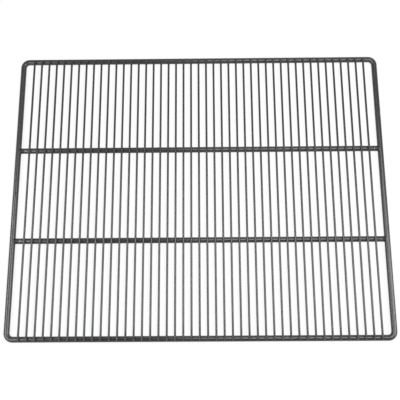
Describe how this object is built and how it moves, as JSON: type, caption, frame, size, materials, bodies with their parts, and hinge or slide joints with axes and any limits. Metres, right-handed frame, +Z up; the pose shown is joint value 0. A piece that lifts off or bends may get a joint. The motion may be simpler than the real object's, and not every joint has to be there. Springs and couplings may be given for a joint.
{
  "type": "refrigerator shelf",
  "caption": "Flat rectangular wire refrigerator shelf in grey coating: a bent outer rail, cross bars and a close deck of thin wires welded front to back.",
  "frame": {"origin": "on the surface the shelf lies on, under the middle of its outline", "axes": "+X to the right along the front rail, +Y from front to rear along the deck wires, +Z up"},
  "size_m": [0.6084, 0.4714, 0.0126],
  "materials": {
    "grey_coating": "satin charcoal grey coating on steel wire"
  },
  "bodies": {
    "root": {"perimeter_rail": "grey_coating", "cross_bar_front": "grey_coating", "cross_bar_rear": "grey_coating", "deck_wire_01": "grey_coating", "deck_wire_02": "grey_coating", "deck_wire_03": "grey_coating", "deck_wire_04": "grey_coating", "deck_wire_05": "grey_coating", "deck_wire_06": "grey_coating", "deck_wire_07": "grey_coating", "deck_wire_08": "grey_coating", "deck_wire_09": "grey_coating", "deck_wire_10": "grey_coating", "deck_wire_11": "grey_coating", "deck_wire_12": "grey_coating", "deck_wire_13": "grey_coating", "deck_wire_14": "grey_coating", "deck_wire_15": "grey_coating", "deck_wire_16": "grey_coating", "deck_wire_17": "grey_coating", "deck_wire_18": "grey_coating", "deck_wire_19": "grey_coating", "deck_wire_20": "grey_coating", "deck_wire_21": "grey_coating", "deck_wire_22": "grey_coating", "deck_wire_23": "grey_coating", "deck_wire_24": "grey_coating", "deck_wire_25": "grey_coating", "deck_wire_26": "grey_coating", "deck_wire_27": "grey_coating", "deck_wire_28": "grey_coating", "deck_wire_29": "grey_coating", "deck_wire_30": "grey_coating", "deck_wire_31": "grey_coating", "deck_wire_32": "grey_coating", "deck_wire_33": "grey_coating", "deck_wire_34": "grey_coating", "deck_wire_35": "grey_coating", "deck_wire_36": "grey_coating", "deck_wire_37": "grey_coating", "deck_wire_38": "grey_coating", "deck_wire_39": "grey_coating", "deck_wire_40": "grey_coating", "deck_wire_41": "grey_coating", "deck_wire_42": "grey_coating", "deck_wire_43": "grey_coating", "deck_wire_44": "grey_coating", "deck_wire_45": "grey_coating"}
  },
  "joints": []
}
